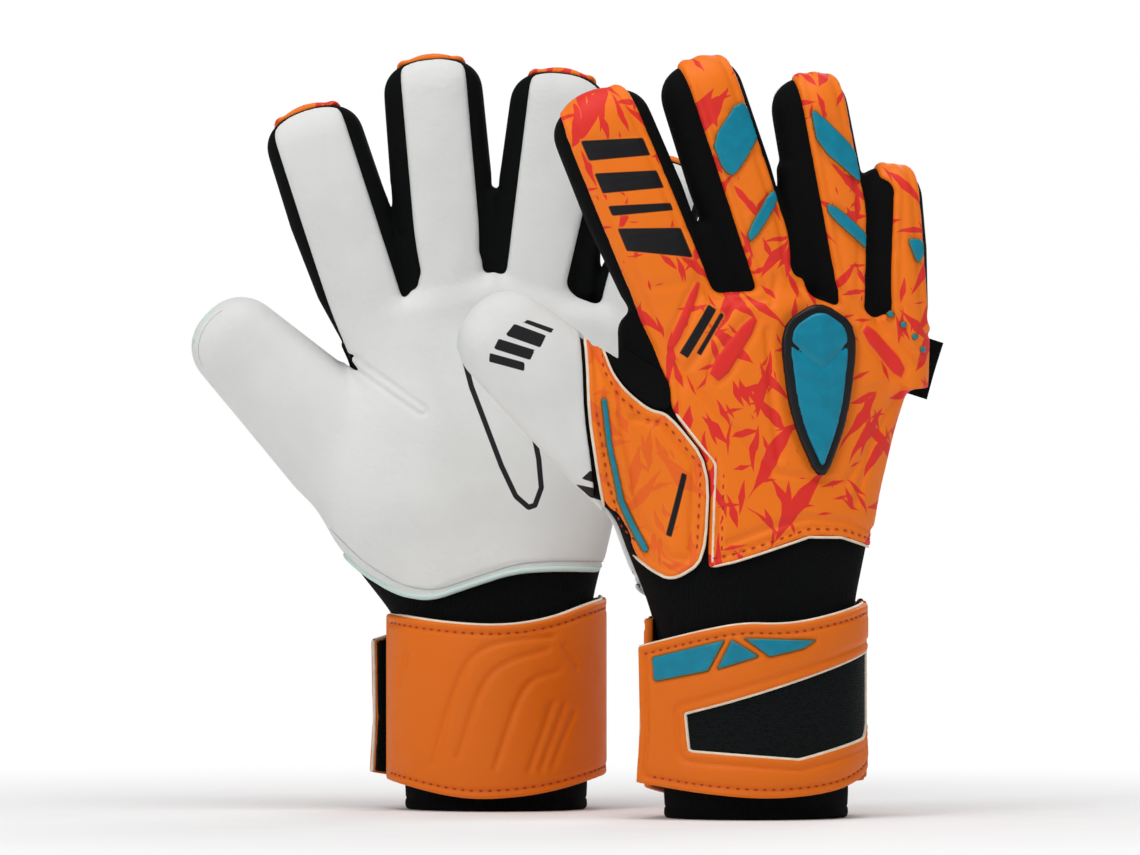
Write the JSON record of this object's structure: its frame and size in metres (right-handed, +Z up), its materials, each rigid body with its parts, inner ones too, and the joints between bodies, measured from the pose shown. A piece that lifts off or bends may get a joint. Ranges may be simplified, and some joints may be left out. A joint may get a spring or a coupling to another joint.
{
  "type": "goalkeeper gloves",
  "caption": "Pair of padded goalkeeper gloves standing on their cuffs, latex palms, moulded backhands, bendable fingers and wrists, and wrap-over wrist straps that open.",
  "frame": {"origin": "on the ground under the middle of the pair's bounding box", "axes": "+Z up along the fingers, -Y towards the side that shows the left glove's palm and the right glove's back, +X towards the right glove"},
  "size_m": [0.2808, 0.157, 0.2861],
  "materials": {
    "latex": "matt white foam latex",
    "thumb_latex": "matt white foam latex with a bound edge",
    "backhand": "satin moulded foam, orange with red print",
    "thumb_base": "satin moulded foam",
    "gusset_fabric": "stretch fabric",
    "knit": "ribbed knit",
    "lining": "brushed terry lining",
    "emblem": "moulded silicone",
    "teal_inlay": "moulded silicone, satin",
    "label": "woven tape",
    "band": "embossed rubber on elastic",
    "loop_tape": "napped loop tape",
    "hook_tape": "hook tape",
    "mesh_window": "open mesh over foam"
  },
  "bodies": {
    "left_cuff": {"left_cuff_sleeve": "knit", "left_palm_band": "band", "left_loop_patch": "loop_tape"},
    "left_strap": {"left_strap_flap": "band", "left_strap_window": "mesh_window", "left_hook_patch": "hook_tape", "left_strap_inlay": "teal_inlay"},
    "left_hand": {"left_palm_panel": "latex", "left_backhand_panel": "backhand", "left_thumb_base_panel": "thumb_base", "left_pinky_side_gusset": "gusset_fabric", "left_thumb_gap_insert": "gusset_fabric", "left_emblem_base": "emblem", "left_emblem_inlay": "teal_inlay", "left_side_label": "label", "left_hand_lining": "lining", "left_wrist_knit": "knit"},
    "left_index": {"left_index_front": "latex", "left_index_back": "backhand", "left_index_gusset": "gusset_fabric"},
    "left_middle": {"left_middle_front": "latex", "left_middle_back": "backhand", "left_middle_gusset": "gusset_fabric"},
    "left_ring": {"left_ring_front": "latex", "left_ring_back": "backhand", "left_ring_gusset": "gusset_fabric"},
    "left_pinky": {"left_pinky_front": "latex", "left_pinky_back": "backhand", "left_pinky_gusset": "gusset_fabric"},
    "left_thumb": {"left_thumb_wrap": "thumb_latex"},
    "right_cuff": {"right_cuff_sleeve": "knit", "right_palm_band": "band", "right_loop_patch": "loop_tape"},
    "right_strap": {"right_strap_flap": "band", "right_strap_window": "mesh_window", "right_hook_patch": "hook_tape", "right_strap_inlay": "teal_inlay"},
    "right_hand": {"right_palm_panel": "latex", "right_backhand_panel": "backhand", "right_thumb_base_panel": "thumb_base", "right_pinky_side_gusset": "gusset_fabric", "right_thumb_gap_insert": "gusset_fabric", "right_emblem_base": "emblem", "right_emblem_inlay": "teal_inlay", "right_side_label": "label", "right_hand_lining": "lining", "right_wrist_knit": "knit"},
    "right_index": {"right_index_front": "latex", "right_index_back": "backhand", "right_index_gusset": "gusset_fabric"},
    "right_middle": {"right_middle_front": "latex", "right_middle_back": "backhand", "right_middle_gusset": "gusset_fabric"},
    "right_ring": {"right_ring_front": "latex", "right_ring_back": "backhand", "right_ring_gusset": "gusset_fabric"},
    "right_pinky": {"right_pinky_front": "latex", "right_pinky_back": "backhand", "right_pinky_gusset": "gusset_fabric"},
    "right_thumb": {"right_thumb_wrap": "thumb_latex"}
  },
  "joints": [
    {"name": "right_glove_slide", "type": "slide", "parent": "left_cuff", "child": "right_cuff", "axis": [1, 0, 0], "range_m": [0, 0.12]},
    {"name": "left_wrist", "type": "hinge", "parent": "left_cuff", "child": "left_hand", "pos_m": [-0.02675, 0.04013, 0.084], "axis": [1, 0, 0], "range_deg": [-15, 15], "stiffness_Nm_per_rad": 2},
    {"name": "left_strap_open", "type": "hinge", "parent": "left_cuff", "child": "left_strap", "pos_m": [0.01475, 0.04713, 0.042], "axis": [0, 0, -1], "range_deg": [0, 110]},
    {"name": "left_index_flex", "type": "hinge", "parent": "left_hand", "child": "left_index", "pos_m": [-0.07375, 0.02673, 0.193], "axis": [0.9511, 0, 0.309], "range_deg": [0, 50], "stiffness_Nm_per_rad": 0.2},
    {"name": "left_middle_flex", "type": "hinge", "parent": "left_hand", "child": "left_middle", "pos_m": [-0.04325, 0.02673, 0.202], "axis": [0.9962, 0, 0.0872], "range_deg": [0, 50], "stiffness_Nm_per_rad": 0.2},
    {"name": "left_ring_flex", "type": "hinge", "parent": "left_hand", "child": "left_ring", "pos_m": [-0.00975, 0.02673, 0.201], "axis": [0.9945, 0, -0.1045], "range_deg": [0, 50], "stiffness_Nm_per_rad": 0.2},
    {"name": "left_pinky_flex", "type": "hinge", "parent": "left_hand", "child": "left_pinky", "pos_m": [0.02475, 0.02673, 0.191], "axis": [0.9816, 0, -0.1908], "range_deg": [0, 50], "stiffness_Nm_per_rad": 0.2},
    {"name": "left_thumb_flex", "type": "hinge", "parent": "left_hand", "child": "left_thumb", "pos_m": [-0.08875, 0.02493, 0.146], "axis": [0.766, 0, 0.6428], "range_deg": [0, 40], "stiffness_Nm_per_rad": 0.2},
    {"name": "right_wrist", "type": "hinge", "parent": "right_cuff", "child": "right_hand", "pos_m": [0.07025, -0.03987, 0.084], "axis": [-0.9703, -0.2419, 0], "range_deg": [-15, 15], "stiffness_Nm_per_rad": 2},
    {"name": "right_strap_open", "type": "hinge", "parent": "right_cuff", "child": "right_strap", "pos_m": [0.11221, -0.03662, 0.042], "axis": [0, 0, 1], "range_deg": [0, 110]},
    {"name": "right_index_flex", "type": "hinge", "parent": "right_hand", "child": "right_index", "pos_m": [0.02819, -0.03654, 0.194], "axis": [-0.8996, -0.2243, -0.3746], "range_deg": [0, 50], "stiffness_Nm_per_rad": 0.2},
    {"name": "right_middle_flex", "type": "hinge", "parent": "right_hand", "child": "right_middle", "pos_m": [0.06361, -0.02771, 0.201], "axis": [-0.9327, -0.2326, -0.2756], "range_deg": [0, 50], "stiffness_Nm_per_rad": 0.2},
    {"name": "right_ring_flex", "type": "hinge", "parent": "right_hand", "child": "right_ring", "pos_m": [0.09466, -0.01997, 0.196], "axis": [-0.9609, -0.2396, -0.1392], "range_deg": [0, 50], "stiffness_Nm_per_rad": 0.2},
    {"name": "right_pinky_flex", "type": "hinge", "parent": "right_hand", "child": "right_pinky", "pos_m": [0.12037, -0.01356, 0.184], "axis": [-0.9679, -0.2413, -0.0698], "range_deg": [0, 50], "stiffness_Nm_per_rad": 0.2},
    {"name": "right_thumb_flex", "type": "hinge", "parent": "right_hand", "child": "right_thumb", "pos_m": [0.00835, -0.03964, 0.147], "axis": [-0.6861, -0.1711, -0.7071], "range_deg": [0, 40], "stiffness_Nm_per_rad": 0.2}
  ]
}
